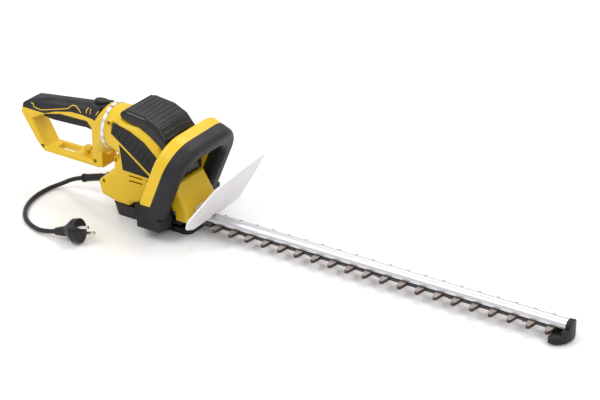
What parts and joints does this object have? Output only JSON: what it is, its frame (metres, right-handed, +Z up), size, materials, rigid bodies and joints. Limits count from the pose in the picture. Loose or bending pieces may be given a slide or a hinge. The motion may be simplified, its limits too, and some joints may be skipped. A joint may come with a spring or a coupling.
{
  "type": "corded hedge trimmer",
  "caption": "Corded hedge trimmer with a long double-sided reciprocating blade, swivelling rear D-handle, loop front handle, clear hand guard, and a short cord with a two-pin plug.",
  "frame": {"origin": "centre line of the flat sole, on the floor, below the middle of the motor housing", "axes": "+X forward along the blade towards its tip, +Y to the operator's left, +Z up out of the floor; the blade's plane is parallel to XY"},
  "size_m": [0.9184, 0.242, 0.1779],
  "materials": {
    "yellow_casing": "satin moulded",
    "black_casing": "fine textured",
    "soft_grip": "matt overmould",
    "grey_plastic": "satin moulded",
    "clear_guard": "frosted",
    "blade_steel": "ground",
    "rail_metal": "satin drawn",
    "screw_steel": "zinc plated",
    "gear_steel": "cut",
    "iron_core": "laminated",
    "copper_wire": "enamelled",
    "gear_carrier": "die cast",
    "cord_rubber": "matt",
    "pin_metal": "nickel plated",
    "brush_carbon": "pressed carbon",
    "bearing_bronze": "sintered"
  },
  "bodies": {
    "tool": {"housing_right": "yellow_casing", "housing_left": "yellow_casing", "swivel_ring": "grey_plastic", "vent_panel_right": "black_casing", "vent_panel_left": "black_casing", "label_panel_right": "black_casing", "label_panel_left": "black_casing", "top_cover": "black_casing", "base_shell": "black_casing", "gearbox_nose": "yellow_casing", "gear_plate": "gear_carrier", "loop_grip": "soft_grip", "loop_back": "yellow_casing", "hand_guard": "clear_guard", "guide_rail": "rail_metal", "wear_strip": "black_casing", "tip_guard": "black_casing", "blade_bolts": "screw_steel", "blade_nuts": "screw_steel", "motor_stator": "iron_core", "field_windings": "copper_wire", "gear_bearings": "bearing_bronze", "motor_bracket": "black_casing", "top_bearing": "bearing_bronze", "brush_holders": "bearing_bronze", "carbon_brushes": "brush_carbon", "housing_screws": "screw_steel", "base_screws": "screw_steel", "guard_screws": "screw_steel", "capacitor": "grey_plastic", "terminal_block": "grey_plastic", "cord": "cord_rubber", "cord_boot": "cord_rubber", "plug_body": "cord_rubber", "plug_pins": "pin_metal"},
    "rear_handle": {"handle_right": "yellow_casing", "handle_left": "yellow_casing", "handle_overmould": "soft_grip", "handle_screws": "screw_steel", "trigger_switch": "black_casing", "trigger_spring": "gear_steel", "lock_spring": "gear_steel"},
    "trigger": {"trigger": "black_casing"},
    "lock_button": {"lock_button": "black_casing"},
    "switch_bar": {"switch_bar": "black_casing"},
    "upper_blade": {"upper_blade": "blade_steel"},
    "lower_blade": {"lower_blade": "blade_steel"},
    "crank": {"crank_gear": "gear_steel"},
    "armature": {"armature": "iron_core", "motor_fan": "black_casing"}
  },
  "joints": [
    {"name": "rear_handle_swivel", "type": "hinge", "parent": "tool", "child": "rear_handle", "pos_m": [-0.089, 0, 0.13], "axis": [1, 0, 0], "range_deg": [-90, 90]},
    {"name": "trigger_pull", "type": "hinge", "parent": "rear_handle", "child": "trigger", "pos_m": [-0.217, 0, 0.1205], "axis": [0, -1, 0], "range_deg": [0, 4.5], "stiffness_Nm_per_rad": 4, "springref_deg": -2.86},
    {"name": "lock_button_press", "type": "slide", "parent": "rear_handle", "child": "lock_button", "axis": [0, 0, -1], "range_m": [0, 0.004], "stiffness_N_per_m": 500, "springref_m": -0.002, "deforming": ["lock_spring"]},
    {"name": "switch_bar_press", "type": "slide", "parent": "tool", "child": "switch_bar", "axis": [0.3746, 0, 0.9272], "range_m": [0, 0.003], "stiffness_N_per_m": 800, "springref_m": -0.002},
    {"name": "armature_spin", "type": "hinge", "parent": "tool", "child": "armature", "pos_m": [-0.018, 0, 0.08], "axis": [0, 0, 1], "continuous": true},
    {"name": "crank_spin", "type": "hinge", "parent": "tool", "child": "crank", "pos_m": [0.0195, 0, 0.03], "axis": [0, 0, 1], "continuous": true},
    {"name": "upper_blade_slide", "type": "slide", "parent": "tool", "child": "upper_blade", "axis": [1, 0, 0], "range_m": [-0.007, 0.007]},
    {"name": "lower_blade_slide", "type": "slide", "parent": "tool", "child": "lower_blade", "axis": [1, 0, 0], "range_m": [-0.007, 0.007]}
  ],
  "couplings": [
    {"joint": "crank_spin", "follows": "armature_spin", "ratio": -0.15385},
    {"joint": "lower_blade_slide", "follows": "upper_blade_slide", "ratio": -1}
  ]
}
